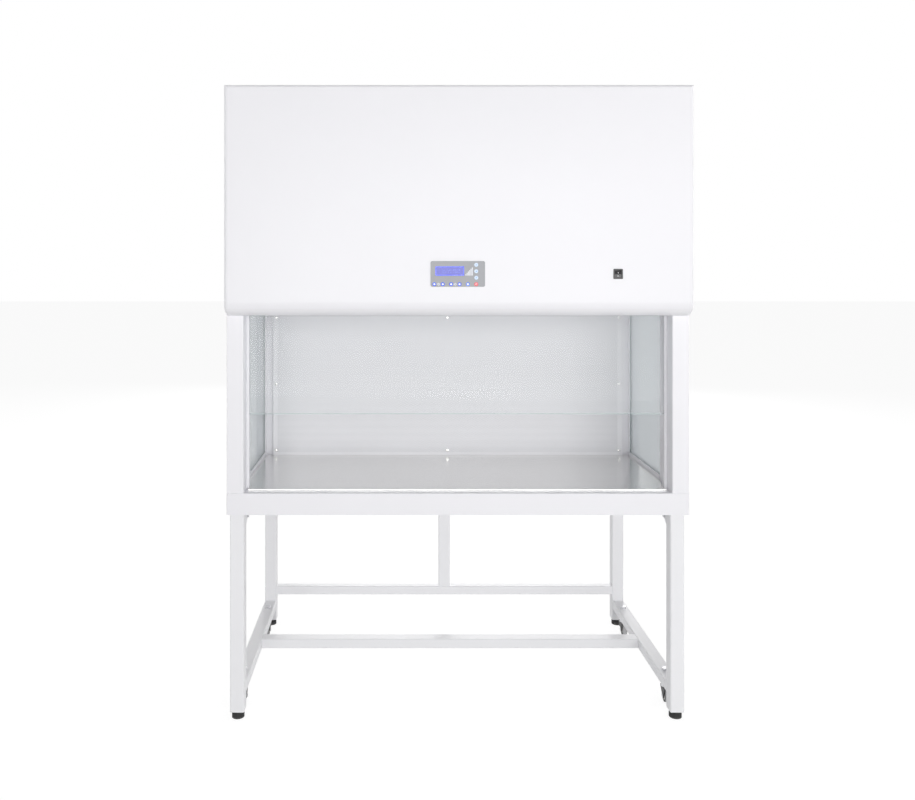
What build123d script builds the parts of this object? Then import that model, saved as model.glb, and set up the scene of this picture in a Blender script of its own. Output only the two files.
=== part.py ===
from build123d import *
import os
from math import cos, radians, sin

os.makedirs("parts", exist_ok=True)

# Frame: X to the right, Y to the back, Z up, millimetres.
# The origin is on the floor, under the middle of the whole bench.

# Whole bench
overall_width = 1300
overall_height = 1790
base_depth = 750
hood_overhang = 40
sheet = 1.5
fit_gap = 0.3
screw_room = 3.5
fastener_sides = 12

# Stand
stand_side_inset = 4
stand_front_inset = 30
leg_size = 40
tube_wall = 2
tube_corner = 2.5
stand_top_z = 636
side_rail_low_z = 60
side_rail_height = 30
end_plate = 4
cross_rail_depth = 40
cross_rail_front_y = 0
rear_rail_size = 30
rear_rail_low_z = 112
strut_width = 40
gusset_length = 80
gusset_height = 50
gusset_thickness = 4
gusset_bolt_back = 12
gusset_bolt_up = 22
frame_bolt_head_radius = 5.25
frame_bolt_head_height = 3.3
cross_bolt_pitch = 20
hex_across_flats = 13
hex_head_height = 5.3
base_bolt_front_y = -150
base_bolt_back_y = 250

# Levelling feet
foot_height = 20
foot_radius = 18
foot_top_radius = 15.5
foot_taper = 9
foot_stud_radius = 5
foot_stud_length = 48
foot_sides = 16
stud_clearance = 0.08

# Casters
caster_pitch = 470
caster_stem_radius = 5
caster_lift = 2
wheel_radius = 18
wheel_width = 15
wheel_sides = 32
axle_radius = 3
axle_head_across = 9
axle_head_height = 2.5
axle_clearance = 0.05
stem_clearance = 0.2
pivot_clearance = 0.08
stem_nut_across = 17
stem_nut_height = 8
fork_lobe = 6.5
caster_trail = 10
fork_gap = 1.2
fork_plate = 2
fork_length = 38
fork_crown_gap = 4
race_radius = 13
brake_lever_width = 12
brake_pedal_width = 44
brake_pedal_length = 11
brake_pedal_corner = 2.5
brake_reach = 16
brake_slope = 18
brake_plate = 2.5
brake_pin_radius = 2
brake_barrel_wall = 1.8
brake_barrel_sides = 8
brake_pin_gap = 3
brake_pin_up = 9

# Base cabinet and worktop
apron_bottom_z = 590
apron_top_z = 651
apron_corner = 2.5
apron_edge = 1.6
base_opening_margin = 67
support_width = 40
worktop_rise = 5
worktop_sheet = 1.2
worktop_front_inset = 28
worktop_edge_radius = 1.8

# Work zone
zone_back_y = 145
hood_height = 640
post_width = 47.5
post_depth = 48
post_inset = 2
post_corner = 1.8
guide_inset = 55
guide_width = 16
guide_depth = 17
guide_rise = 555
sash_glass_thickness = 5
sash_edge_gap = 0.4
sash_slot_depth = 9
sash_opening = 213
sash_height = 560
fairing_end_y = -198
side_glass_thickness = 5
side_glass_inset = 33
side_glass_lap = 7
rail_width = 12
rail_height = 15
rail_floor = 6

# Rear plenum, diffuser and filter
diffuser_inset = 60
diffuser_fold = 12
diffuser_edge = 1
plenum_opening_inset = 85
plenum_opening_low = 41
plenum_opening_drop = 42
filter_inset = 38
filter_depth = 68
filter_drop = 12
filter_frame = 18
pleat_pitch = 54
pleat_depth = 46
media_thickness = 2
rear_cover_inset = 35
rear_cover_low = 25
rear_cover_drop = 26
rear_cover_lap = 22
rear_cover_corner = 8
rear_screw_margin = 10
screw_head_radius = 4.5
screw_head_height = 2.6
diffuser_screw_margin = 11
diffuser_screw_low = 21
diffuser_screw_drop = 30

# Hood
cover_nose_radius = 40
cover_edge_radius = 9
cover_inner_chamfer = 5
cover_lip = 18
floor_slot_gap = 1.5
lamp_recess_inset = 145
lamp_recess_front_y = -212
lamp_recess_depth = 82
lamp_recess_height = 48
lamp_flange = 13
lamp_tube_radius = 13
lamp_sides = 20
lamp_end_room = 55
lamp_pitch = 42
lamp_holder_thickness = 18
intake_half_width = 200
intake_front_y = -110
intake_depth = 250
intake_grille_thickness = 3
prefilter_thickness = 22
prefilter_margin = 12
prefilter_lip = 15
grille_bar = 7
grille_slot = 11
grille_border = 16

# Blower
scroll_half_width = 110
scroll_y = 150
scroll_up = 290
scroll_start_radius = 140
scroll_step = 25
scroll_chords = 5
scroll_tongue_height = 135
scroll_outlet_front = 85
scroll_inlet_radius = 96
scroll_inlet_sides = 24
impeller_radius = 120
impeller_half_width = 100
blade_count = 20
blade_depth = 20
blade_thickness = 1.6
blade_bend = 5.7
ring_margin = 1
impeller_plate = 2.5
hub_radius = 24
hub_half_width = 15
hub_sides = 12
axle_shaft_radius = 8
shaft_running_gap = 0.05
rotor_radius = 52
rotor_sides = 20
rotor_wall = 4
rotor_length = 76
stator_radius = 44
bracket_arm_width = 18
bracket_arm_thickness = 4

# Control panel on the hood front
panel_width = 150
panel_height = 71
panel_center_x = -3.5
panel_up = 117
panel_thickness = 3
panel_corner = 5
panel_tub_depth = 26
panel_tub_wall = 2
panel_tub_side_margin = 6
panel_tub_low_margin = 14
window_width = 79.4
window_height = 25.4
window_thickness = 1.5
window_left_margin = 13
window_center_up = 8
window_gap = 0.2
key_radius = 5.5
key_sides = 16
key_proud = 0.8
key_thickness = 2.4
key_travel = 0.5
key_pitch_x = 23.1
key_pitch_z = 17.8
key_left_margin = 10.2
key_low_margin = 7.2

# Mains switch on the hood front
switch_width = 26
switch_height = 28
switch_center_x = 439
switch_flange = 2
switch_corner = 1.5
switch_well_width = 19.4
switch_well_height = 21.4
switch_well_depth = 12
switch_body_wall = 1.4
switch_body_depth = 22
rocker_half_width = 9.4
rocker_half_height = 9.3
rocker_reach = 6
rocker_dip = 4.6
rocker_back = 3
rocker_back_half = 6
rocker_pivot_depth = 6
rocker_tilt = 12

# Mains inlet on the hood back
inlet_center_x = -520
inlet_up = 75
inlet_width = 50
inlet_height = 28
inlet_flange = 2
inlet_corner = 3
inlet_body_width = 28
inlet_body_height = 21
inlet_body_depth = 20
socket_width = 24
socket_height = 16
socket_depth = 16
inlet_screw_pitch = 40
contact_width = 2
contact_height = 5
contact_length = 11
contact_pitch = 7

# Places worked out from the sizes
half_width = overall_width / 2
hood_bottom_z = overall_height - hood_height
hood_front_y = -(base_depth + hood_overhang) / 2
back_y = -hood_front_y
base_front_y = hood_front_y + hood_overhang
body_back_y = back_y - screw_room
stand_half_width = half_width - stand_side_inset
leg_inner_x = stand_half_width - leg_size
leg_x = stand_half_width - leg_size / 2
stand_front_y = base_front_y + stand_front_inset
stand_back_y = back_y - stand_front_inset
stand_center_y = (stand_front_y + stand_back_y) / 2
leg_bottom_z = foot_height + fit_gap
top_rail_low_z = stand_top_z - leg_size
side_rail_top_z = side_rail_low_z + side_rail_height
worktop_front_y = base_front_y + worktop_front_inset
guide_inner_x = half_width - guide_inset
guide_top_z = hood_bottom_z + guide_rise
sash_bottom_z = apron_top_z + sash_opening
side_glass_inner_x = half_width - side_glass_inset
diffuser_half_width = half_width - diffuser_inset
plenum_opening_half_width = half_width - plenum_opening_inset
plenum_opening_low_z = apron_top_z + plenum_opening_low
plenum_opening_high_z = hood_bottom_z - plenum_opening_drop
filter_half_width = half_width - filter_inset
filter_top_z = hood_bottom_z - filter_drop
rear_cover_half_width = half_width - rear_cover_inset
rear_cover_low_z = apron_top_z + rear_cover_low
rear_cover_high_z = hood_bottom_z - rear_cover_drop
lamp_recess_half_length = half_width - lamp_recess_inset
lamp_half_length = lamp_recess_half_length - lamp_end_room
post_inner_x = half_width - post_width
post_front_y = base_front_y + post_inset
post_back_y = post_front_y + post_depth
guide_front_y = post_back_y + 0.5
guide_back_y = guide_front_y + guide_depth
sash_slot_width = sash_glass_thickness + 2 * sash_edge_gap
sash_front_y = guide_front_y + (guide_depth - sash_glass_thickness) / 2
sash_half_width = guide_inner_x + sash_slot_depth - sash_edge_gap
side_glass_outer_x = side_glass_inner_x + side_glass_thickness
rail_center_x = (side_glass_inner_x + side_glass_outer_x) / 2
diffuser_front_y = zone_back_y - diffuser_fold
cover_back_y = base_front_y
scroll_z = hood_bottom_z + scroll_up
duct_front_y = scroll_y + scroll_outlet_front
duct_back_y = scroll_y + scroll_start_radius + 3 * scroll_step
panel_center_z = hood_bottom_z + panel_up
panel_left_x = panel_center_x - panel_width / 2
panel_low_z = panel_center_z - panel_height / 2
key_center_y = hood_front_y - panel_thickness - key_proud + key_thickness / 2
switch_center_z = panel_center_z
inlet_center_z = hood_bottom_z + inlet_up


def block(x0, x1, y0, y1, z0, z1):
    """A box between two corners."""
    middle = Pos((x0 + x1) / 2, (y0 + y1) / 2, (z0 + z1) / 2)
    return middle * Box(x1 - x0, y1 - y0, z1 - z0)


def rod_x(radius, x0, x1, y, z):
    """A round bar along X."""
    return Pos((x0 + x1) / 2, y, z) * Rot(0, 90, 0) * Cylinder(radius, x1 - x0)


def rod_z(radius, z0, z1, x, y):
    """A round bar along Z."""
    return Pos(x, y, (z0 + z1) / 2) * Cylinder(radius, z1 - z0)


def hex_z(across, z0, z1, x, y):
    """A hexagonal bar along Z."""
    outline = RegularPolygon(across / 2, 6, major_radius=False)
    return Pos(x, y, z0) * extrude(outline, z1 - z0)


def hex_x(across, x0, x1, y, z):
    """A hexagonal bar along X."""
    outline = Plane.YZ * RegularPolygon(across / 2, 6, major_radius=False)
    return Pos(x0, y, z) * extrude(outline, x1 - x0)


def bar_x(radius, sides, x0, x1, y, z):
    """A many-sided bar along X."""
    return Pos(x0, y, z) * extrude(Plane.YZ * RegularPolygon(radius, sides), x1 - x0)


def bar_y(radius, sides, y0, y1, x, z):
    """A many-sided bar along Y."""
    return Pos(x, y1, z) * extrude(Plane.XZ * RegularPolygon(radius, sides), y1 - y0)


def bar_z(radius, sides, z0, z1, x, y):
    """A many-sided bar along Z."""
    return Pos(x, y, z0) * extrude(RegularPolygon(radius, sides), z1 - z0)


def tube(axis, x0, x1, y0, y1, z0, z1):
    """A square tube with bevelled outer corners, open at both ends of its axis."""
    outer = block(x0, x1, y0, y1, z0, z1)
    outer = chamfer(outer.edges().filter_by(axis), tube_corner)
    wall_x = 0 if axis == Axis.X else tube_wall
    wall_y = 0 if axis == Axis.Y else tube_wall
    wall_z = 0 if axis == Axis.Z else tube_wall
    return outer - block(x0 + wall_x, x1 - wall_x, y0 + wall_y, y1 - wall_y, z0 + wall_z, z1 - wall_z)


def sheet_box(x0, x1, y0, y1, z0, z1, wall):
    """A closed box of folded sheet."""
    return block(x0, x1, y0, y1, z0, z1) - block(
        x0 + wall, x1 - wall, y0 + wall, y1 - wall, z0 + wall, z1 - wall
    )


def both_sides(right_part):
    """The part and its mirror image in the middle plane."""
    return {"right": right_part, "left": mirror(right_part, about=Plane.YZ)}


def save(name, shape):
    """Write one piece to its own file."""
    export_step(shape, f"parts/{name}.step")


# Stand

caster_places = {
    "front": stand_center_y - caster_pitch / 2,
    "back": stand_center_y + caster_pitch / 2,
}
foot_places = {
    "front": stand_front_y + leg_size / 2,
    "back": stand_back_y - leg_size / 2,
}
gusset_bolts_y = {
    "front": stand_front_y + leg_size + gusset_bolt_back,
    "back": stand_back_y - leg_size - gusset_bolt_back,
}
gusset_bolt_z = top_rail_low_z - gusset_height + gusset_bolt_up
cross_bolts_y = [
    cross_rail_front_y + cross_rail_depth / 2 + offset
    for offset in (-cross_bolt_pitch / 2, cross_bolt_pitch / 2)
]
cross_bolt_z = side_rail_low_z + side_rail_height / 2
rear_rail_front_y = stand_back_y - leg_size
rear_bolt_y = rear_rail_front_y + rear_rail_size / 2
rear_bolt_z = rear_rail_low_z + rear_rail_size / 2


def gusset(leg_face_y, direction):
    """A flat triangular plate under the top rail, flush with the inner side of the leg."""
    corner = (leg_face_y, top_rail_low_z)
    far = (leg_face_y + direction * gusset_length, top_rail_low_z)
    low = (leg_face_y, top_rail_low_z - gusset_height)
    outline = Plane.YZ * make_face(Polyline(corner, far, low, close=True))
    return Pos(leg_inner_x, 0, 0) * extrude(outline, gusset_thickness)


def side_frame():
    """Two legs, two side rails and their gussets, welded into one frame."""
    x0 = leg_inner_x
    x1 = stand_half_width
    front_leg = tube(Axis.Z, x0, x1, stand_front_y, stand_front_y + leg_size, leg_bottom_z, top_rail_low_z)
    back_leg = tube(Axis.Z, x0, x1, stand_back_y - leg_size, stand_back_y, leg_bottom_z, top_rail_low_z)
    top_rail = tube(Axis.Y, x0, x1, stand_front_y, stand_back_y, top_rail_low_z, stand_top_z)
    low_rail = tube(
        Axis.Y, x0, x1, stand_front_y + leg_size, stand_back_y - leg_size, side_rail_low_z, side_rail_top_z
    )
    frame = front_leg + back_leg + top_rail + low_rail
    stud_hole = foot_stud_radius + stud_clearance
    for y in foot_places.values():
        plate_y = (y - leg_size / 2 + 1, y + leg_size / 2 - 1)
        frame += block(x0 + 1, x1 - 1, *plate_y, leg_bottom_z, leg_bottom_z + end_plate)
        frame -= bar_z(stud_hole, fastener_sides, leg_bottom_z - 1, leg_bottom_z + end_plate + 1, leg_x, y)
    frame += gusset(stand_front_y + leg_size, 1)
    frame += gusset(stand_back_y - leg_size, -1)
    for y in caster_places.values():
        hole_z = (side_rail_low_z - 1, side_rail_top_z + 1)
        frame -= bar_z(caster_stem_radius + stem_clearance, fastener_sides, *hole_z, leg_x, y)
    return frame


def cross_rail():
    """The low rail across the stand, with a plate in each end."""
    y0 = cross_rail_front_y
    y1 = y0 + cross_rail_depth
    rail = tube(Axis.X, -leg_inner_x, leg_inner_x, y0, y1, side_rail_low_z, side_rail_top_z)
    for end in (-1, 1):
        plate_x = sorted((end * leg_inner_x, end * (leg_inner_x - end_plate)))
        rail += block(*plate_x, y0 + 1, y1 - 1, side_rail_low_z + 1, side_rail_top_z - 1)
    return rail


def rear_frame():
    """Rear rail, middle strut and rear top rail, welded into one frame."""
    y0 = rear_rail_front_y
    y1 = y0 + rear_rail_size
    rail_top = rear_rail_low_z + rear_rail_size
    top_low = stand_top_z - rear_rail_size
    low_rail = tube(Axis.X, -leg_inner_x, leg_inner_x, y0, y1, rear_rail_low_z, rail_top)
    high_rail = tube(Axis.X, -leg_inner_x, leg_inner_x, y0, y1, top_low, stand_top_z)
    strut = tube(Axis.Z, -strut_width / 2, strut_width / 2, y0, y1, rail_top, top_low)
    frame = low_rail + high_rail + strut
    for end in (-1, 1):
        plate_x = sorted((end * leg_inner_x, end * (leg_inner_x - end_plate)))
        frame += block(*plate_x, y0 + 1, y1 - 1, rear_rail_low_z + 1, rail_top - 1)
    return frame


def button_head(y, z):
    """The head of a button-head bolt on the right side of the stand."""
    x1 = stand_half_width + frame_bolt_head_height
    return bar_x(frame_bolt_head_radius, fastener_sides, stand_half_width, x1, y, z)


def gusset_bolt(y):
    """Head and nut of the hexagon bolt through the gusset."""
    plate_inner = leg_inner_x
    plate_outer = leg_inner_x + gusset_thickness
    head = hex_x(hex_across_flats, plate_inner - hex_head_height, plate_inner, y, gusset_bolt_z)
    nut = hex_x(hex_across_flats, plate_outer, plate_outer + hex_head_height, y, gusset_bolt_z)
    return [head, nut]


def base_bolt(y):
    """Head and nut of the hexagon bolt from the top rail up into the base cabinet."""
    head = hex_z(hex_across_flats, top_rail_low_z - hex_head_height, top_rail_low_z, leg_x, y)
    nut_low = stand_top_z + sheet
    nut = hex_z(hex_across_flats, nut_low, nut_low + hex_head_height, leg_x, y)
    return [head, nut]


def frame_bolts():
    """The heads and nuts of all bolts that hold the stand together and to the base cabinet."""
    right = [button_head(y, cross_bolt_z) for y in cross_bolts_y]
    right.append(button_head(rear_bolt_y, rear_bolt_z))
    for y in gusset_bolts_y.values():
        right += gusset_bolt(y)
    for y in (base_bolt_front_y, base_bolt_back_y):
        right += base_bolt(y)
    left = [mirror(bolt, about=Plane.YZ) for bolt in right]
    return Compound(children=right + left)


for side, shape in both_sides(side_frame()).items():
    save(f"{side}_side_frame", shape)
save("mid_cross_rail", cross_rail())
save("rear_frame", rear_frame())
save("frame_bolts", frame_bolts())


# Levelling feet


def levelling_foot(x, y):
    """A rubber pad with its threaded stud, screwed up under a leg."""
    pad = bar_z(foot_radius, foot_sides, 0, foot_height, x, y)
    rim = pad.faces().sort_by(Axis.Z)[-1].edges()
    pad = chamfer(rim, foot_taper, foot_radius - foot_top_radius)
    stud_top_z = foot_height + foot_stud_length
    return pad + bar_z(foot_stud_radius, fastener_sides, foot_height, stud_top_z, x, y)


for end, y in foot_places.items():
    save(f"levelling_foot_{end}_right", levelling_foot(leg_x, y))
    save(f"levelling_foot_{end}_left", levelling_foot(-leg_x, y))


# Casters, each modelled with its stem on the Z axis and its trail towards +Y,
# then turned so that the wheels trail towards the front

axle_z = caster_lift + wheel_radius
crown_low_z = axle_z + wheel_radius + fork_crown_gap
crown_top_z = crown_low_z + fork_plate
fork_inner = wheel_width / 2 + fork_gap
fork_outer = fork_inner + fork_plate
pivot_radius = caster_stem_radius - 1


def caster_stem():
    """The stem with its fixed race cup and pivot below the rail and its nut above."""
    cup = bar_z(race_radius, fastener_sides, crown_top_z + fit_gap, side_rail_low_z, 0, 0)
    stem = bar_z(caster_stem_radius, fastener_sides, side_rail_low_z, side_rail_top_z, 0, 0)
    nut = hex_z(stem_nut_across, side_rail_top_z, side_rail_top_z + stem_nut_height, 0, 0)
    pivot = bar_z(pivot_radius, fastener_sides, crown_low_z, crown_top_z + fit_gap, 0, 0)
    return cup + stem + nut + pivot


def caster_fork():
    """The pressed fork that swivels under the stem, with its axle through the wheel."""
    y0 = -fork_length / 2 + caster_trail / 2
    y1 = y0 + fork_length
    crown = block(-fork_outer, fork_outer, y0, y1, crown_low_z, crown_top_z)
    crown -= rod_z(pivot_radius + pivot_clearance, crown_low_z - 1, crown_top_z + 1, 0, 0)
    ear_outline = Polyline(
        (y0, crown_top_z),
        (y1, crown_top_z),
        (y1, crown_low_z),
        (caster_trail + fork_lobe, axle_z),
        (caster_trail + fork_lobe / 2, axle_z - fork_lobe),
        (caster_trail - fork_lobe / 2, axle_z - fork_lobe),
        (caster_trail - fork_lobe, axle_z),
        (y0, crown_low_z),
        close=True,
    )
    ear = extrude(Plane.YZ * make_face(ear_outline), fork_plate)
    fork = crown + Pos(fork_inner, 0, 0) * ear + Pos(-fork_outer, 0, 0) * ear
    fork += bar_x(axle_radius, fastener_sides, -fork_outer, fork_outer, caster_trail, axle_z)
    for end in (-1, 1):
        head_x = sorted((end * fork_outer, end * (fork_outer + axle_head_height)))
        fork += hex_x(axle_head_across, *head_x, caster_trail, axle_z)
    return fork


def caster_wheel():
    """The wheel, bored for the axle."""
    half = wheel_width / 2
    wheel = bar_x(wheel_radius, wheel_sides, -half, half, caster_trail, axle_z)
    return wheel - rod_x(axle_radius + axle_clearance, -half - 1, half + 1, caster_trail, axle_z)


brake_barrel_radius = brake_pin_radius + brake_barrel_wall
brake_pin_y = caster_trail - wheel_radius - brake_pin_gap - brake_barrel_radius / 2
brake_pin_z = axle_z + brake_pin_up


def caster_brake():
    """The brake lever, hinged on a pin across the fork, with a broad pedal."""
    half = brake_lever_width / 2
    slope = Pos(0, brake_pin_y, brake_pin_z) * Rot(brake_slope, 0, 0)
    arm = block(-half, half, -brake_reach, 0, -brake_plate / 2, brake_plate / 2)
    pedal = block(
        -brake_pedal_width / 2,
        brake_pedal_width / 2,
        -brake_reach - brake_pedal_length,
        -brake_reach,
        -brake_plate / 2,
        brake_plate / 2,
    )
    pedal = chamfer(pedal.edges().filter_by(Axis.Z), brake_pedal_corner)
    barrel = bar_x(brake_barrel_radius, brake_barrel_sides, -half, half, brake_pin_y, brake_pin_z)
    lever = slope * (arm + pedal) + barrel
    return lever - rod_x(brake_pin_radius + pivot_clearance, -half - 1, half + 1, brake_pin_y, brake_pin_z)


def brake_ears():
    """Two ears on the fork that carry the brake pin."""
    room = brake_barrel_radius + 0.5
    ear = block(fork_inner, fork_outer, brake_pin_y - room, brake_pin_y + 9, brake_pin_z - room, crown_top_z)
    ears = ear + mirror(ear, about=Plane.YZ)
    return ears + bar_x(brake_pin_radius, fastener_sides, -fork_outer, fork_outer, brake_pin_y, brake_pin_z)


stem_places = []
for side, x in (("right", leg_x), ("left", -leg_x)):
    for end, y in caster_places.items():
        place = Pos(x, y, 0) * Rot(0, 0, 180)
        fork = caster_fork()
        if end == "back":
            fork += brake_ears()
            save(f"caster_brake_{end}_{side}", place * caster_brake())
        save(f"caster_fork_{end}_{side}", place * fork)
        save(f"caster_wheel_{end}_{side}", place * caster_wheel())
        stem_places.append(place)
save("caster_stems", Compound(children=[place * caster_stem() for place in stem_places]))


# Base cabinet and worktop


def base_cabinet():
    """A folded pan, open below: apron all round, top plate and two support channels."""
    pan = block(-half_width, half_width, base_front_y, body_back_y, apron_bottom_z, apron_top_z)
    upright = pan.edges().filter_by(Axis.Z)
    pan = chamfer(upright, apron_corner)
    rim = pan.faces().sort_by(Axis.Z)[-1].edges()
    pan = chamfer(rim, apron_edge)
    pan -= block(
        -half_width + sheet,
        half_width - sheet,
        base_front_y + sheet,
        body_back_y - sheet,
        apron_bottom_z - 1,
        apron_top_z - sheet,
    )
    opening_x = half_width - base_opening_margin
    pan -= block(
        -opening_x,
        opening_x,
        base_front_y + base_opening_margin,
        zone_back_y - support_width,
        apron_top_z - 5,
        apron_top_z + 1,
    )
    channel_low = stand_top_z
    channel_high = apron_top_z - sheet
    x0 = leg_x - support_width / 2
    x1 = leg_x + support_width / 2
    channel = block(x0, x1, stand_front_y, stand_back_y, channel_low, channel_high)
    channel -= block(
        x0 + sheet, x1 - sheet, stand_front_y - 1, stand_back_y + 1, channel_low + sheet, channel_high + 1
    )
    return pan + channel + mirror(channel, about=Plane.YZ)


def worktop():
    """The stainless tray that forms the work surface, its edges folded down."""
    right = [
        (guide_inner_x - 1, worktop_front_y),
        (guide_inner_x - 1, guide_back_y),
        (rail_center_x - rail_width / 2 - 1, fairing_end_y),
        (rail_center_x - rail_width / 2 - 1, diffuser_front_y - 1),
    ]
    left = [(-x, y) for x, y in reversed(right)]
    outline = make_face(Polyline(*right, *left, close=True))
    inner = offset(outline, -worktop_sheet)
    tray = Pos(0, 0, apron_top_z) * extrude(outline, worktop_rise)
    front_edge = tray.faces().sort_by(Axis.Z)[-1].edges().sort_by(Axis.Y)[0]
    tray = fillet(front_edge, worktop_edge_radius)
    return tray - Pos(0, 0, apron_top_z - 1) * extrude(inner, worktop_rise - worktop_sheet + 1)


save("base_cabinet", base_cabinet())
save("worktop", worktop())


# Front posts, sash guides and glass


def front_post():
    """A folded post that carries the hood at the front corner."""
    outer = block(post_inner_x, half_width, post_front_y, post_back_y, apron_top_z, hood_bottom_z)
    outer = chamfer(outer.edges().filter_by(Axis.Z), post_corner)
    inner = block(
        post_inner_x + sheet,
        half_width - sheet,
        post_front_y + sheet,
        post_back_y - sheet,
        apron_top_z - 1,
        hood_bottom_z + 1,
    )
    return outer - inner


def sash_guide():
    """The channel that the sash runs in, with a slanting fairing back to the side glass."""
    x1 = guide_inner_x + guide_width
    channel = block(guide_inner_x, x1, guide_front_y, guide_back_y, apron_top_z, guide_top_z)
    slot_front = sash_front_y - sash_edge_gap
    channel -= block(
        guide_inner_x - 1,
        guide_inner_x + sash_slot_depth,
        slot_front,
        slot_front + sash_slot_width,
        apron_top_z - 1,
        guide_top_z + 1,
    )
    fairing_end_x = side_glass_inner_x - fit_gap
    fairing = make_face(
        Polyline(
            (guide_inner_x + 4, guide_back_y),
            (guide_inner_x + 4 + sheet, guide_back_y),
            (fairing_end_x, fairing_end_y - side_glass_lap - sheet),
            (fairing_end_x, fairing_end_y),
            (fairing_end_x - sheet, fairing_end_y),
            (fairing_end_x - sheet, fairing_end_y - side_glass_lap),
            close=True,
        )
    )
    return channel + Pos(0, 0, apron_top_z) * extrude(fairing, hood_bottom_z - apron_top_z)


def side_glass():
    """The fixed side window."""
    return block(
        side_glass_inner_x,
        side_glass_outer_x,
        fairing_end_y - side_glass_lap,
        zone_back_y - rail_floor - fit_gap,
        apron_top_z + rail_floor + fit_gap,
        hood_bottom_z - fit_gap,
    )


def side_glass_frame():
    """The bottom rail and rear upright that hold the side window."""
    x0 = rail_center_x - rail_width / 2
    x1 = rail_center_x + rail_width / 2
    upright_front_y = zone_back_y - rail_width
    rail = block(x0, x1, fairing_end_y, zone_back_y, apron_top_z, apron_top_z + rail_height)
    upright = block(x0, x1, upright_front_y, zone_back_y, apron_top_z, hood_bottom_z)
    groove = block(
        side_glass_inner_x - fit_gap,
        side_glass_outer_x + fit_gap,
        fairing_end_y - 1,
        zone_back_y - rail_floor,
        apron_top_z + rail_floor,
        hood_bottom_z + 1,
    )
    return rail + upright - groove


def sash_glass():
    """The clear front sash."""
    pane = block(
        -sash_half_width,
        sash_half_width,
        sash_front_y,
        sash_front_y + sash_glass_thickness,
        sash_bottom_z,
        sash_bottom_z + sash_height,
    )
    low_edges = pane.faces().sort_by(Axis.Z)[0].edges().filter_by(Axis.X)
    return chamfer(low_edges, 1)


for side, shape in both_sides(front_post()).items():
    save(f"{side}_post", shape)
for side, shape in both_sides(sash_guide()).items():
    save(f"{side}_sash_guide", shape)
for side, shape in both_sides(side_glass()).items():
    save(f"{side}_side_glass", shape)
for side, shape in both_sides(side_glass_frame()).items():
    save(f"{side}_glass_frame", shape)
save("sash_glass", sash_glass())


# Rear plenum, diffuser, filter and rear cover

rear_screw_x = rear_cover_half_width - rear_screw_margin
rear_cover_screws = [
    (x, z)
    for z in (rear_cover_low_z + rear_screw_margin, rear_cover_high_z - rear_screw_margin)
    for x in (-rear_screw_x, 0, rear_screw_x)
]
diffuser_screw_x = diffuser_half_width - diffuser_screw_margin
diffuser_screw_low_z = apron_top_z + diffuser_screw_low
diffuser_screw_high_z = hood_bottom_z - diffuser_screw_drop
diffuser_screw_mid_z = (diffuser_screw_low_z + diffuser_screw_high_z) / 2
diffuser_screws = [
    (-diffuser_screw_x, diffuser_screw_low_z),
    (0, diffuser_screw_low_z),
    (diffuser_screw_x, diffuser_screw_low_z),
    (-diffuser_screw_x, diffuser_screw_mid_z),
    (diffuser_screw_x, diffuser_screw_mid_z),
    (-diffuser_screw_x, diffuser_screw_high_z),
    (0, diffuser_screw_high_z),
    (diffuser_screw_x, diffuser_screw_high_z),
]
inlet_screws = [
    (inlet_center_x + offset, inlet_center_z) for offset in (-inlet_screw_pitch / 2, inlet_screw_pitch / 2)
]


def plenum_body():
    """The sheet box behind the work zone that holds the filter and guides the air down to it."""
    box = sheet_box(-half_width, half_width, zone_back_y, body_back_y, apron_top_z, hood_bottom_z, sheet)
    box -= block(
        -plenum_opening_half_width,
        plenum_opening_half_width,
        zone_back_y - 1,
        zone_back_y + sheet + 1,
        plenum_opening_low_z,
        plenum_opening_high_z,
    )
    box -= block(
        -scroll_half_width + sheet,
        scroll_half_width - sheet,
        duct_front_y + sheet,
        duct_back_y - sheet,
        hood_bottom_z - 5,
        hood_bottom_z + 1,
    )
    box -= block(
        -rear_cover_half_width + rear_cover_lap,
        rear_cover_half_width - rear_cover_lap,
        body_back_y - 5,
        body_back_y + 1,
        rear_cover_low_z + rear_cover_lap,
        rear_cover_high_z - rear_cover_lap,
    )
    return box


def diffuser_panel():
    """The perforated panel's folded tray, its face set forward of the plenum."""
    tray = block(
        -diffuser_half_width,
        diffuser_half_width,
        diffuser_front_y,
        zone_back_y,
        apron_top_z + 1,
        hood_bottom_z - 1,
    )
    face_edges = tray.faces().sort_by(Axis.Y)[0].edges()
    tray = chamfer(face_edges, diffuser_edge)
    return tray - block(
        -diffuser_half_width + worktop_sheet,
        diffuser_half_width - worktop_sheet,
        diffuser_front_y + worktop_sheet,
        zone_back_y + 1,
        apron_top_z + 1 + worktop_sheet,
        hood_bottom_z - 1 - worktop_sheet,
    )


def hepa_filter():
    """The filter pack: a rigid frame round pleated media."""
    y0 = zone_back_y + sheet
    y1 = y0 + filter_depth
    z0 = apron_top_z + sheet
    frame = block(-filter_half_width, filter_half_width, y0, y1, z0, filter_top_z)
    inner_x = filter_half_width - filter_frame
    inner_low = z0 + filter_frame
    inner_high = filter_top_z - filter_frame
    frame -= block(-inner_x, inner_x, y0 - 1, y1 + 1, inner_low, inner_high)
    folds = int(2 * inner_x // pleat_pitch)
    pitch = 2 * inner_x / folds
    front = (y0 + y1 - pleat_depth) / 2
    ridge = [(-inner_x + pitch * i / 2, front + pleat_depth * (i % 2)) for i in range(2 * folds + 1)]
    rear = [(x, y + media_thickness) for x, y in reversed(ridge)]
    media = make_face(Polyline(*ridge, *rear, close=True))
    return frame + Pos(0, 0, inner_low) * extrude(media, inner_high - inner_low)


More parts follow.
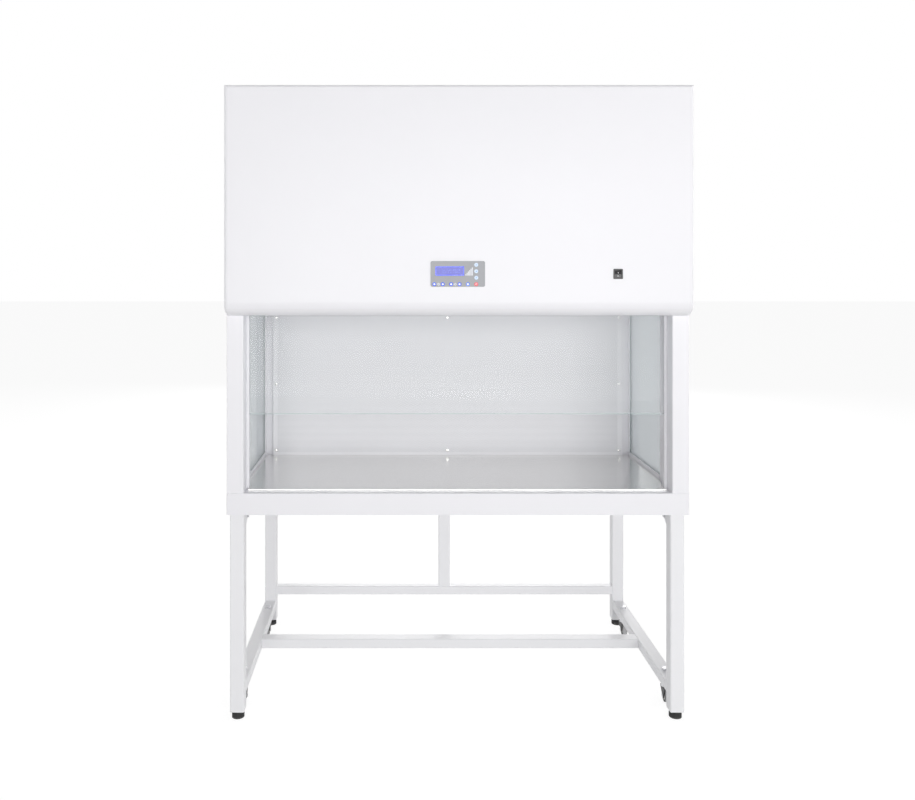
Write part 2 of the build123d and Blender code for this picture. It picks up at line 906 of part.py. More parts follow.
def rear_cover():
    """The flat plate that closes the back of the plenum."""
    plate = block(
        -rear_cover_half_width,
        rear_cover_half_width,
        body_back_y,
        body_back_y + sheet,
        rear_cover_low_z,
        rear_cover_high_z,
    )
    return chamfer(plate.edges().filter_by(Axis.Y), rear_cover_corner)


def screw_head(x, seat_y, z, side):
    """The head of a pan-head screw on a panel's front (-1) or back (1)."""
    y0, y1 = sorted((seat_y, seat_y + side * screw_head_height))
    return bar_y(screw_head_radius, fastener_sides, y0, y1, x, z)


def panel_screws():
    """The heads of every pan-head screw: diffuser panel, rear cover and mains inlet."""
    front = [screw_head(x, diffuser_front_y, z, -1) for x, z in diffuser_screws]
    rear = [screw_head(x, body_back_y + sheet, z, 1) for x, z in rear_cover_screws]
    inlet = [screw_head(x, body_back_y + inlet_flange, z, 1) for x, z in inlet_screws]
    return Compound(children=front + rear + inlet)


save("plenum_body", plenum_body())
save("diffuser_panel", diffuser_panel())
save("hepa_filter", hepa_filter())
save("rear_cover", rear_cover())
save("panel_screws", panel_screws())


# Hood


def hood_body():
    """The folded hood box behind the front cover: sides, top, back and the work zone's ceiling."""
    box = sheet_box(-half_width, half_width, cover_back_y, body_back_y, hood_bottom_z, overall_height, sheet)
    lip_top = overall_height - sheet
    # The front is open, with a lip that reaches into the cover at the top and the sides.
    box -= block(
        -half_width + cover_lip,
        half_width - cover_lip,
        cover_back_y - 1,
        cover_back_y + sheet + 1,
        hood_bottom_z + sheet,
        overall_height - cover_lip,
    )
    for end in (-1, 1):
        lip_x = sorted((end * (half_width - sheet), end * (half_width - 2 * sheet)))
        box += block(
            *lip_x, cover_back_y - cover_lip, cover_back_y + sheet, hood_bottom_z + cover_nose_radius, lip_top
        )
    box += block(
        -half_width + sheet,
        half_width - sheet,
        cover_back_y - cover_lip,
        cover_back_y + sheet,
        lip_top - sheet,
        lip_top,
    )
    slot_x = guide_inner_x + guide_width + floor_slot_gap
    box -= block(
        -slot_x,
        slot_x,
        guide_front_y - floor_slot_gap,
        guide_back_y + floor_slot_gap,
        hood_bottom_z - 1,
        hood_bottom_z + sheet + 1,
    )
    box -= block(
        -lamp_recess_half_length,
        lamp_recess_half_length,
        lamp_recess_front_y,
        lamp_recess_front_y + lamp_recess_depth,
        hood_bottom_z - 1,
        hood_bottom_z + sheet + 1,
    )
    box -= block(
        -scroll_half_width + sheet,
        scroll_half_width - sheet,
        duct_front_y + sheet,
        duct_back_y - sheet,
        hood_bottom_z - 1,
        hood_bottom_z + sheet + 1,
    )
    box -= block(
        -intake_half_width,
        intake_half_width,
        intake_front_y,
        intake_front_y + intake_depth,
        overall_height - 5,
        overall_height + 1,
    )
    # A collar below the intake holds the pre-filter.
    collar_low = overall_height - intake_grille_thickness - prefilter_thickness - sheet
    seat_x = intake_half_width + prefilter_margin
    seat_front = intake_front_y - prefilter_margin
    seat_back = intake_front_y + intake_depth + prefilter_margin
    collar = block(
        -seat_x - sheet, seat_x + sheet, seat_front - sheet, seat_back + sheet, collar_low, lip_top
    )
    collar -= block(-seat_x, seat_x, seat_front, seat_back, collar_low + sheet, lip_top + 1)
    collar -= block(
        -seat_x + prefilter_lip,
        seat_x - prefilter_lip,
        seat_front + prefilter_lip,
        seat_back - prefilter_lip,
        collar_low - 1,
        collar_low + sheet + 1,
    )
    box += collar
    box -= block(
        inlet_center_x - inlet_body_width / 2 - fit_gap,
        inlet_center_x + inlet_body_width / 2 + fit_gap,
        body_back_y - 5,
        body_back_y + 1,
        inlet_center_z - inlet_body_height / 2 - fit_gap,
        inlet_center_z + inlet_body_height / 2 + fit_gap,
    )
    return box


def cover_form(inset):
    """The front cover's outline as a solid, every face set in by the inset."""
    front = hood_front_y + inset
    back = cover_back_y + inset
    low = hood_bottom_z + inset
    high = overall_height - inset
    profile = Plane.YZ * Pos((front + back) / 2, (low + high) / 2) * Rectangle(back - front, high - low)
    nose = profile.vertices().sort_by(Axis.Y)[:2].sort_by(Axis.Z)[0]
    profile = fillet(nose, min(cover_nose_radius - inset, back - front - 0.5))
    return extrude(profile, half_width - inset, both=True)


def cover_rim(form):
    """The top and side edges of the cover's front face."""
    face = form.faces().filter_by(Plane.XZ).sort_by(Axis.Y)[0]
    return face.edges().sort_by(Axis.Z)[1:]


def front_cover():
    """The hood's front cover: one folded skin, open behind, with its two cut-outs."""
    outer = cover_form(0)
    outer = fillet(cover_rim(outer), cover_edge_radius)
    inner = cover_form(sheet)
    inner = chamfer(cover_rim(inner), cover_inner_chamfer)
    cover = outer - inner
    cover -= block(
        panel_left_x + panel_tub_side_margin - fit_gap,
        panel_left_x + panel_width - panel_tub_side_margin + fit_gap,
        hood_front_y - 1,
        hood_front_y + 5,
        panel_low_z + panel_tub_low_margin - fit_gap,
        panel_low_z + panel_height - panel_tub_side_margin + fit_gap,
    )
    cut_x = switch_well_width / 2 + switch_body_wall + fit_gap
    cut_z = switch_well_height / 2 + switch_body_wall + fit_gap
    cover -= block(
        switch_center_x - cut_x,
        switch_center_x + cut_x,
        hood_front_y - 1,
        hood_front_y + 5,
        switch_center_z - cut_z,
        switch_center_z + cut_z,
    )
    return cover


save("hood_body", hood_body())
save("front_cover", front_cover())


# Lamps in the ceiling recess

recess_back_y = lamp_recess_front_y + lamp_recess_depth
recess_top_z = hood_bottom_z + lamp_recess_height
lamp_y = (lamp_recess_front_y + recess_back_y) / 2
lamp_z = recess_top_z - worktop_sheet - lamp_tube_radius - 6


def lamp_tray():
    """The white recess pan above the ceiling, with the four lamp holders."""
    z0 = hood_bottom_z + sheet
    wall = worktop_sheet
    pan = block(
        -lamp_recess_half_length - wall,
        lamp_recess_half_length + wall,
        lamp_recess_front_y - wall,
        recess_back_y + wall,
        z0,
        recess_top_z,
    )
    pan += block(
        -lamp_recess_half_length - lamp_flange,
        lamp_recess_half_length + lamp_flange,
        lamp_recess_front_y - lamp_flange,
        recess_back_y + lamp_flange,
        z0,
        z0 + wall,
    )
    pan -= block(
        -lamp_recess_half_length,
        lamp_recess_half_length,
        lamp_recess_front_y,
        recess_back_y,
        z0 - 1,
        recess_top_z - wall,
    )
    for end in (-1, 1):
        holder_x = sorted((end * lamp_half_length, end * (lamp_half_length + lamp_holder_thickness)))
        for offset_y in (-lamp_pitch / 2, lamp_pitch / 2):
            y = lamp_y + offset_y
            pan += block(*holder_x, y - 12, y + 12, lamp_z - 12, recess_top_z - wall)
    return pan


def lamp_tube(y):
    """A straight tube lamp."""
    return bar_x(lamp_tube_radius, lamp_sides, -lamp_half_length, lamp_half_length, y, lamp_z)


save("lamp_tray", lamp_tray())
save("work_lamp", lamp_tube(lamp_y - lamp_pitch / 2))
save("germicidal_lamp", lamp_tube(lamp_y + lamp_pitch / 2))


# Blower: scroll housing, bladed wheel and its motor

floor_top_z = hood_bottom_z + sheet


def scroll_outline():
    """The scroll in the YZ plane: three quarter turns of growing radius and the outlet."""
    centres = [
        (scroll_y, scroll_z),
        (scroll_y + scroll_step, scroll_z),
        (scroll_y + scroll_step, scroll_z - scroll_step),
    ]
    points = [(scroll_y, scroll_z - scroll_start_radius)]
    for turn, (y, z) in enumerate(centres):
        radius = scroll_start_radius + turn * scroll_step
        for chord in range(1, scroll_chords + 1):
            angle = radians(270 - 90 * (turn + chord / scroll_chords))
            points.append((y + radius * cos(angle), z + radius * sin(angle)))
    points.append((points[-1][0], floor_top_z))
    points.append((duct_front_y, floor_top_z))
    points.append((duct_front_y, floor_top_z + scroll_tongue_height))
    return make_face(Polyline(*points, close=True))


def blower_housing():
    """The sheet scroll, open at both inlets and at the outlet below."""
    outline = scroll_outline()
    shell = extrude(Plane.YZ * outline, scroll_half_width, both=True)
    inner = offset(outline, -sheet, kind=Kind.INTERSECTION)
    cavity = extrude(Plane.YZ * inner, scroll_half_width - sheet, both=True)
    shell -= cavity
    shell -= block(
        -scroll_half_width + sheet,
        scroll_half_width - sheet,
        duct_front_y + sheet,
        duct_back_y - scroll_step - sheet,
        floor_top_z - 1,
        floor_top_z + 3,
    )
    through = scroll_half_width + 1
    return shell - bar_x(scroll_inlet_radius, scroll_inlet_sides, -through, through, scroll_y, scroll_z)


def impeller():
    """The bladed wheel: forward-curved blades between two rings, centre disc, hub and rotor."""
    inner = impeller_radius - blade_depth
    middle = impeller_radius - blade_depth / 2
    half = impeller_half_width
    blade = make_face(
        Polyline(
            (inner, 0),
            (middle, blade_bend),
            (impeller_radius, 0),
            (impeller_radius, blade_thickness),
            (middle, blade_bend + blade_thickness),
            (inner, blade_thickness),
            close=True,
        )
    )
    blades = [Rot(0, 0, 360 * i / blade_count) * blade for i in range(blade_count)]
    wheel = extrude(Sketch() + blades, half - impeller_plate / 2, both=True)
    disc = RegularPolygon(impeller_radius + ring_margin, blade_count, major_radius=False)
    ring = extrude(disc - RegularPolygon(inner - ring_margin, blade_count), impeller_plate)
    wheel += Pos(0, 0, half - impeller_plate) * ring
    wheel += Pos(0, 0, -half) * ring
    wheel += extrude(disc, impeller_plate / 2, both=True)
    wheel += extrude(RegularPolygon(hub_radius, hub_sides), hub_half_width, both=True)
    rotor_section = RegularPolygon(rotor_radius, rotor_sides)
    rotor_section -= RegularPolygon(rotor_radius - rotor_wall, rotor_sides)
    wheel += extrude(rotor_section, rotor_length)
    wheel -= Cylinder(axle_shaft_radius + shaft_running_gap, 4 * hub_half_width)
    return Pos(0, scroll_y, scroll_z) * Rot(0, 90, 0) * wheel


def blower_motor():
    """The fixed stator and axle inside the wheel, carried by a four-arm bracket in the inlet."""
    plate_inner_x = scroll_half_width - sheet
    arm_x0 = plate_inner_x - bracket_arm_thickness
    stator_x = hub_half_width + 3
    motor = bar_x(stator_radius, rotor_sides, stator_x, arm_x0, scroll_y, scroll_z)
    motor += bar_x(axle_shaft_radius, fastener_sides, -stator_x - 1, stator_x, scroll_y, scroll_z)
    reach = scroll_inlet_radius + 10
    arm = block(arm_x0, plate_inner_x, -bracket_arm_width / 2, bracket_arm_width / 2, -reach, reach)
    for turn in (45, 135):
        motor += Pos(0, scroll_y, scroll_z) * Rot(turn, 0, 0) * arm
    return motor


save("blower_housing", blower_housing())
save("impeller", impeller())
save("blower_motor", blower_motor())


# Air intake on top of the hood


def intake_grille():
    """The slotted plate set flush in the hood's top."""
    x = intake_half_width - fit_gap
    y0 = intake_front_y + fit_gap
    y1 = intake_front_y + intake_depth - fit_gap
    top = overall_height
    plate = block(-x, x, y0, y1, top - intake_grille_thickness, top)
    pitch = grille_slot + grille_bar
    room = y1 - y0 - 2 * grille_border
    rows = int((room + grille_bar) // pitch)
    first = (y0 + y1) / 2 - (rows - 1) * pitch / 2
    slot_end = x - grille_border
    slots = []
    for row in range(rows):
        y = first + row * pitch
        for end in (-1, 1):
            span = sorted((end * grille_bar, end * slot_end))
            slot_y = (y - grille_slot / 2, y + grille_slot / 2)
            slots.append(block(*span, *slot_y, top - intake_grille_thickness - 1, top + 1))
    return plate - slots


def pre_filter():
    """The washable coarse filter mat in its frame, under the intake grille."""
    x = intake_half_width + prefilter_margin - fit_gap
    y0 = intake_front_y - prefilter_margin + fit_gap
    y1 = intake_front_y + intake_depth + prefilter_margin - fit_gap
    z1 = overall_height - intake_grille_thickness
    z0 = z1 - prefilter_thickness
    mat_x = intake_half_width - prefilter_margin
    mat_y0 = intake_front_y + prefilter_margin
    mat_y1 = intake_front_y + intake_depth - prefilter_margin
    full = block(-x, x, y0, y1, z0, z1)
    upper = block(-mat_x, mat_x, mat_y0, mat_y1, z1 - 4, z1 + 1)
    lower = block(-mat_x, mat_x, mat_y0, mat_y1, z0 - 1, z0 + 6)
    return full - upper - lower


save("intake_grille", intake_grille())
save("pre_filter", pre_filter())


# Control panel, display window and keys

panel_front_y = hood_front_y - panel_thickness
window_x0 = panel_left_x + window_left_margin
window_center_z = panel_center_z + window_center_up
key_columns = [panel_left_x + key_left_margin + key_pitch_x * i for i in range(6)]
key_rows = [panel_low_z + key_low_margin + key_pitch_z * i for i in range(4)]
key_places = {
    "key_lamp": (key_columns[0], key_rows[0]),
    "key_germicidal": (key_columns[1], key_rows[0]),
    "key_slower": (key_columns[2], key_rows[0]),
    "key_faster": (key_columns[3], key_rows[0]),
    "key_socket": (key_columns[4], key_rows[0]),
    "key_power": (key_columns[5], key_rows[0]),
    "key_down": (key_columns[5], key_rows[1]),
    "key_enter": (key_columns[5], key_rows[2]),
    "key_up": (key_columns[5], key_rows[3]),
}


def control_panel():
    """The grey bezel with its key pockets and window seat, and the electronics tub behind."""
    outline = Plane.XZ * Pos(panel_center_x, panel_center_z) * RectangleRounded(
        panel_width, panel_height, panel_corner
    )
    bezel = Pos(0, hood_front_y, 0) * extrude(outline, panel_thickness)
    tub = block(
        panel_left_x + panel_tub_side_margin,
        panel_left_x + panel_width - panel_tub_side_margin,
        hood_front_y,
        hood_front_y + panel_tub_depth,
        panel_low_z + panel_tub_low_margin,
        panel_low_z + panel_height - panel_tub_side_margin,
    )
    wall = panel_tub_wall
    hollow = block(
        panel_left_x + panel_tub_side_margin + wall,
        panel_left_x + panel_width - panel_tub_side_margin - wall,
        hood_front_y + wall,
        hood_front_y + panel_tub_depth + 1,
        panel_low_z + panel_tub_low_margin + wall,
        panel_low_z + panel_height - panel_tub_side_margin - wall,
    )
    panel = bezel + (tub - hollow)
    panel -= block(
        window_x0 - window_gap,
        window_x0 + window_width + window_gap,
        panel_front_y - 1,
        panel_front_y + window_thickness,
        window_center_z - window_height / 2 - window_gap,
        window_center_z + window_height / 2 + window_gap,
    )
    pocket_depth = key_thickness - key_proud + key_travel + fit_gap
    for x, z in key_places.values():
        panel -= bar_y(key_radius + fit_gap, key_sides, panel_front_y - 1, panel_front_y + pocket_depth, x, z)
    return panel


def display_window():
    """The display's cover plate."""
    return block(
        window_x0,
        window_x0 + window_width,
        panel_front_y,
        panel_front_y + window_thickness,
        window_center_z - window_height / 2,
        window_center_z + window_height / 2,
    )


def key_cap(x, z):
    """A low round push key."""
    half = key_thickness / 2
    return bar_y(key_radius, key_sides, key_center_y - half, key_center_y + half, x, z)


save("control_panel", control_panel())
save("display_window", display_window())
for name, (x, z) in key_places.items():
    save(name, key_cap(x, z))


# Mains switch

rocker_pivot_y = hood_front_y - switch_flange + rocker_pivot_depth


def switch_frame():
    """The snap-in switch body with the well for its rocker."""
    flange = block(
        switch_center_x - switch_width / 2,
        switch_center_x + switch_width / 2,
        hood_front_y - switch_flange,
        hood_front_y,
        switch_center_z - switch_height / 2,
        switch_center_z + switch_height / 2,
    )
    flange = chamfer(flange.edges().filter_by(Axis.Y), switch_corner)
    half_x = switch_well_width / 2
    half_z = switch_well_height / 2
    wall = switch_body_wall
    body = block(
        switch_center_x - half_x - wall,
        switch_center_x + half_x + wall,
        hood_front_y,
        hood_front_y + switch_body_depth,
        switch_center_z - half_z - wall,
        switch_center_z + half_z + wall,
    )
    well = block(
        switch_center_x - half_x,
        switch_center_x + half_x,
        hood_front_y - switch_flange - 1,
        hood_front_y - switch_flange + switch_well_depth,
        switch_center_z - half_z,
        switch_center_z + half_z,
    )
    return flange + body - well


def rocker():
    """The rocker with its shallow V face, its lower half pressed in."""
    outline = Plane.YZ * make_face(
        Polyline(
            (-rocker_reach, rocker_half_height),
            (-rocker_dip, 0),
            (-rocker_reach, -rocker_half_height),
            (rocker_back, -rocker_back_half),
            (rocker_back, rocker_back_half),
            close=True,
        )
    )
    solid = extrude(outline, rocker_half_width, both=True)
    return Pos(switch_center_x, rocker_pivot_y, switch_center_z) * Rot(rocker_tilt, 0, 0) * solid


save("switch_frame", switch_frame())
save("switch_rocker", rocker())


# Mains inlet


def power_inlet():
    """The appliance inlet on the hood's back, with its socket and three contacts."""
    x = inlet_center_x
    z = inlet_center_z
    flange = block(
        x - inlet_width / 2,
        x + inlet_width / 2,
        body_back_y,
        body_back_y + inlet_flange,
        z - inlet_height / 2,
        z + inlet_height / 2,
    )
    flange = chamfer(flange.edges().filter_by(Axis.Y), inlet_corner)
    body = block(
        x - inlet_body_width / 2,
        x + inlet_body_width / 2,
        body_back_y - inlet_body_depth,
        body_back_y,
        z - inlet_body_height / 2,
        z + inlet_body_height / 2,
    )
    socket_floor_y = body_back_y + inlet_flange - socket_depth
    socket = block(
        x - socket_width / 2,
        x + socket_width / 2,
        socket_floor_y,
        body_back_y + inlet_flange + 1,
        z - socket_height / 2,
        z + socket_height / 2,
    )
    inlet = flange + body - socket
    for step in (-1, 0, 1):
        contact_z = z + (2 if step == 0 else -1)
        contact_x = x + step * contact_pitch
        inlet += block(
            contact_x - contact_width / 2,
            contact_x + contact_width / 2,
            socket_floor_y,
            socket_floor_y + contact_length,
            contact_z - contact_height / 2,
            contact_z + contact_height / 2,
        )
    return inlet


save("power_inlet", power_inlet())
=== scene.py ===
import bpy
from math import pi, radians
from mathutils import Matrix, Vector


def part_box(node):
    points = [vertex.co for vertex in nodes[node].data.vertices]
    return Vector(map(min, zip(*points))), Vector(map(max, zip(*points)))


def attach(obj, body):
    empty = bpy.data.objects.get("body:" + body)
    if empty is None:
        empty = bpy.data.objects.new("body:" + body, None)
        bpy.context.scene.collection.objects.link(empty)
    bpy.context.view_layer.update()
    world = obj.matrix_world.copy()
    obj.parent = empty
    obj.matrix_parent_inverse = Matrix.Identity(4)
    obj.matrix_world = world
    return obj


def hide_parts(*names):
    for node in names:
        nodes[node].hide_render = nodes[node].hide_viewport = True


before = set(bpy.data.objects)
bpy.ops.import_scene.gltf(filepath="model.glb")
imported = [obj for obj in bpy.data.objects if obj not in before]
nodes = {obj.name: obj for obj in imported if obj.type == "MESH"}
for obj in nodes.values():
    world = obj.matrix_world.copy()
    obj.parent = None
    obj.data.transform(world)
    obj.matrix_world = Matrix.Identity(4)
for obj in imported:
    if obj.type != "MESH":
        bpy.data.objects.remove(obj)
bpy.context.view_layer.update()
print("frame loaded:", len(nodes), "nodes")


# Shader maths: a Wire is one socket, and an expression on wires adds its Math nodes

class Wire:
    def __init__(self, recipe, socket):
        self.recipe = recipe
        self.socket = socket

    def maths(self, operation, *others):
        return self.recipe.maths(operation, self, *others)

    def __add__(self, other):
        return self.maths("ADD", other)

    __radd__ = __add__

    def __sub__(self, other):
        return self.maths("SUBTRACT", other)

    def __rsub__(self, other):
        return self.recipe.maths("SUBTRACT", other, self)

    def __mul__(self, other):
        return self.maths("MULTIPLY", other)

    def __truediv__(self, other):
        return self.maths("DIVIDE", other)

    def __pow__(self, other):
        return self.maths("POWER", other)

    def __neg__(self):
        return self.maths("MULTIPLY", -1.0)

    def __abs__(self):
        return self.maths("ABSOLUTE")

    def __mod__(self, other):
        return self.maths("FLOORED_MODULO", other)

    def __lt__(self, other):
        return self.maths("LESS_THAN", other)

    def __gt__(self, other):
        return self.maths("GREATER_THAN", other)

    def step(self, low, high):  # 0 below low, 1 above high, smooth between
        return self.recipe.node(
            "ShaderNodeMapRange",
            {"interpolation_type": "SMOOTHSTEP"},
            {"Value": self, "From Min": low, "From Max": high},
        )

    def edge(self, place, soft):  # a step centred on one place
        return self.step(place - soft, place + soft)

    def between(self, low, high, soft):
        return self.edge(low, soft) * (1 - self.edge(high, soft))

    def smaller(self, other):
        return self.maths("MINIMUM", other)

    def larger(self, other):
        return self.maths("MAXIMUM", other)


class Recipe:  # one material's node tree
    def __init__(self, name):
        self.material = bpy.data.materials.new(name)
        self.material.use_nodes = True
        self.tree = self.material.node_tree
        self.tree.nodes.clear()
        self.output = self.tree.nodes.new("ShaderNodeOutputMaterial")
        self.place = None

    def node(self, kind, settings=None, inputs=None, out=0):
        made = self.tree.nodes.new(kind)
        for key, value in (settings or {}).items():
            setattr(made, key, value)
        for key, value in (inputs or {}).items():
            socket = made.inputs[key]
            if isinstance(value, Wire):
                self.tree.links.new(value.socket, socket)
            elif isinstance(value, tuple) and len(value) == 3 and socket.type == "RGBA":
                socket.default_value = (*value, 1)
            else:
                socket.default_value = value
        return Wire(self, made.outputs[out])

    def maths(self, operation, *values):
        return self.node("ShaderNodeMath", {"operation": operation}, dict(enumerate(values)))

    def where(self):  # the point's place on the object, in metres
        if not self.place:
            self.place = self.node("ShaderNodeTexCoord", out=3)
        return self.place

    def axes(self):  # that place as x, y and z
        split = self.node("ShaderNodeSeparateXYZ", None, {0: self.where()})
        return [Wire(self, out) for out in split.socket.node.outputs]

    def stretch(self, x, y, z):  # object coordinates scaled along each axis
        return self.node("ShaderNodeMapping", None, {"Vector": self.where(), "Scale": (x, y, z)})

    def noise(self, scale, detail=2.0, roughness=0.5, vector=None):
        inputs = {
            "Vector": vector or self.where(),
            "Scale": scale,
            "Detail": detail,
            "Roughness": roughness,
        }
        return self.node("ShaderNodeTexNoise", None, inputs)

    def blend(self, amount, first, second):  # mixes two colours
        inputs = {0: amount, 6: first, 7: second}
        return self.node("ShaderNodeMix", {"data_type": "RGBA"}, inputs, out=2)

    def bump(self, height, strength, distance):
        inputs = {"Height": height, "Strength": strength, "Distance": distance}
        return self.node("ShaderNodeBump", None, inputs)

    def finish(self, **inputs):
        named = {key.replace("_", " "): value for key, value in inputs.items()}
        shader = self.node("ShaderNodeBsdfPrincipled", None, named)
        self.tree.links.new(shader.socket, self.output.inputs[0])
        return self.material


def shade(colour, factor):  # a colour made darker or lighter
    return tuple(min(1.0, c * factor) for c in colour)


def dress(material, *names):  # gives CAD nodes or pieces a material
    for name in names:
        obj = nodes[name] if isinstance(name, str) else name
        obj.data.materials.clear()
        obj.data.materials.append(material)
        for face in obj.data.polygons:
            face.material_index = 0


def soften(*names, angle=35):  # smooth shading on round surfaces
    for name in names:
        obj = nodes[name] if isinstance(name, str) else name
        bpy.ops.object.select_all(action="DESELECT")
        obj.select_set(True)
        bpy.context.view_layer.objects.active = obj
        bpy.ops.object.shade_smooth_by_angle(angle=radians(angle))


# White powder coat, with its fine orange peel

coat = {
    "hood": (0.885, 0.88, 0.91),
    "stand": (0.885, 0.885, 0.905),
    "grille": (0.84, 0.84, 0.86),
    "peelScale": 900.0,
    "peelHeight": 0.00004,
    "roughness": 0.34,
}


def powderCoat(name, colour, paintedShade=None):
    paint = Recipe(name)
    cloud = paint.noise(2.2, 3.0)
    fine = paint.noise(coat["peelScale"], 2.0, 0.6)
    coarse = paint.noise(coat["peelScale"] / 4, 1.0)
    tone = paint.blend((cloud - 0.5) * 1.6 + 0.5, shade(colour, 0.985), shade(colour, 1.01))
    # optional painted shade laid over the coat's tone
    if paintedShade:
        tone = paintedShade(paint, tone)
    return paint.finish(
        Base_Color=tone,
        Roughness=fine * 0.08 + (coat["roughness"] - 0.04),
        Normal=paint.bump(fine * 0.6 + coarse, 0.35, coat["peelHeight"]),
        Specular_IOR_Level=0.45,
    )


# hood cover fold places, and the painted shade colours for its side folds and lower edge
cover = {
    "foldX": 0.6395,
    "foldWidth": 0.0012,
    "lipLow": 1.150,
    "lipHigh": 1.1705,
    "lipEdge": 0.0015,
    "foldShadeTone": (0.78, 0.78, 0.80),
    "lipShadeTone": (0.83, 0.82, 0.84),
}


def coverFoldShade(paint, tone):  # painted shade: a darker line along the hood cover's side folds and a darker band along its lower edge
    x, _, z = paint.axes()
    side = abs(abs(x) - cover["foldX"]).step(0.0, cover["foldWidth"])
    low = z.between(cover["lipLow"], cover["lipHigh"], cover["lipEdge"])
    tone = paint.blend((1 - side) * 0.35, tone, cover["foldShadeTone"])
    return paint.blend(low * 0.45, tone, cover["lipShadeTone"])


dress(powderCoat("whiteHoodCoat", coat["hood"]),
      "hood_body", "plenum_body", "left_post", "right_post", "base_cabinet", "rear_cover",
      "left_sash_guide", "right_sash_guide", "lamp_tray", "left_glass_frame", "right_glass_frame")
dress(powderCoat("whiteCoverCoatWithPaintedShade", coat["hood"], coverFoldShade), "front_cover")
dress(powderCoat("whiteStandCoat", coat["stand"]),
      "left_side_frame", "right_side_frame", "mid_cross_rail", "rear_frame")
soften("hood_body", "plenum_body", "left_post", "right_post", "base_cabinet", "front_cover",
       "left_side_frame", "right_side_frame", "mid_cross_rail", "rear_frame",
       "left_sash_guide", "right_sash_guide")
print("paint done")


# Stainless worktop, brushed along its length

steel = {"colour": (0.80, 0.795, 0.785), "grain": 260.0, "grainAlong": 3.0, "roughness": 0.20}


def brushedSteel(name):
    sheet = Recipe(name)
    lines = sheet.noise(1.0, 4.0, 0.65, sheet.stretch(steel["grainAlong"], steel["grain"], steel["grain"]))
    patches = sheet.noise(6.0, 3.0)
    return sheet.finish(
        Base_Color=sheet.blend(lines, shade(steel["colour"], 0.93), shade(steel["colour"], 1.06)),
        Metallic=1.0,
        Roughness=lines * 0.10 + patches * 0.05 + (steel["roughness"] - 0.07),
        Normal=sheet.bump(lines, 0.12, 0.0001),
    )


dress(brushedSteel("brushedWorktop"), "worktop")
soften("worktop")


# Perforated diffuser: staggered round holes through a pale sheet

holes = {
    "pitch": 0.0045,
    "rowRatio": 0.866,
    "radius": 0.0011,
    "edge": 0.0002,
    "fieldX": 0.574,
    "fieldLow": 0.664,
    "fieldHigh": 1.137,
    "dark": (0.50, 0.51, 0.53),
    "sheet": ((0.87, 0.87, 0.89), (0.91, 0.90, 0.925)),
}


def perforatedSheet():
    sheet = Recipe("perforatedDiffuser")
    x, _, z = sheet.axes()
    pitch = holes["pitch"]
    row = pitch * holes["rowRatio"]
    distance = None
    for shift in (0.0, 0.5):  # two sets of rows, the second half a pitch across
        across = abs((x + shift * pitch) % pitch - pitch / 2)
        up = abs((z + shift * 2 * row) % (2 * row) - row)
        reach = (across * across + up * up) ** 0.5
        distance = reach if distance is None else distance.smaller(reach)
    hole = 1 - distance.edge(holes["radius"], holes["edge"])
    outside = abs(x).step(holes["fieldX"], holes["fieldX"] + 0.0005)
    hole = hole * (1 - outside) * z.between(holes["fieldLow"], holes["fieldHigh"], 0.0003)
    tone = sheet.blend(sheet.noise(1.7, 2.0), *holes["sheet"])
    return sheet.finish(
        Base_Color=sheet.blend(hole, tone, holes["dark"]),
        Roughness=0.42 + hole * 0.3,
        Normal=sheet.bump(1 - hole, 0.5, 0.0004),
    )


dress(perforatedSheet(), "diffuser_panel")
soften("diffuser_panel")
print("steel and diffuser done")


# Clear glass, green at its cut edges

glass = {
    "tint": (0.86, 0.90, 0.92),
    "edgeTint": (0.66, 0.80, 0.78),
    "body": 0.055,
    "sashLow": 0.8655,
    "sashHigh": 1.4225,
    "sideFront": -0.2040,
    "sideBack": 0.1380,
}


def clearGlass(name, edges):
    pane = Recipe(name)
    rim = edges(*pane.axes())
    gloss = pane.node("ShaderNodeFresnel", None, {"IOR": 1.45})
    smears = pane.noise(9.0, 3.0)
    return pane.finish(
        Base_Color=pane.blend(rim, glass["tint"], glass["edgeTint"]),
        Alpha=(gloss * 0.8 + glass["body"] + rim * 0.5).smaller(0.9),
        Roughness=smears * 0.02 + 0.02,
        Specular_IOR_Level=0.6,
    )


def sashEdges(x, y, z):  # the lower and upper cut edges
    low = 1 - z.edge(glass["sashLow"], 0.001)
    return low.larger(z.edge(glass["sashHigh"], 0.001))


def sideEdges(x, y, z):  # the front and back cut edges
    return (1 - y.edge(glass["sideFront"], 0.0005)).larger(y.edge(glass["sideBack"], 0.0005))


dress(clearGlass("sashGlass", sashEdges), "sash_glass")
dress(clearGlass("sideGlass", sideEdges), "left_side_glass", "right_side_glass")
print("glass done")


# Plated steel: bolts and caster stems

zinc = {"colour": (0.66, 0.66, 0.68), "roughness": 0.28}


def platedSteel(name, colour, roughness):
    plate = Recipe(name)
    grain = plate.noise(420.0, 3.0, 0.6)
    cloud = plate.noise(60.0, 2.0)
    return plate.finish(
        Base_Color=plate.blend(cloud, shade(colour, 0.86), shade(colour, 1.1)),
        Metallic=1.0,
        Roughness=grain * 0.14 + (roughness - 0.05),
        Normal=plate.bump(grain, 0.2, 0.00005),
    )


dress(platedSteel("zincPlate", zinc["colour"], zinc["roughness"]), "frame_bolts", "caster_stems")
soften("frame_bolts", "caster_stems")


# Rubber feet and casters

foot = {
    "rubber": (0.022, 0.022, 0.023),
    "dust": (0.16, 0.155, 0.15),
    "stud": (0.62, 0.62, 0.64),
    "padTop": 0.020,
    "scuffTop": 0.006,
}


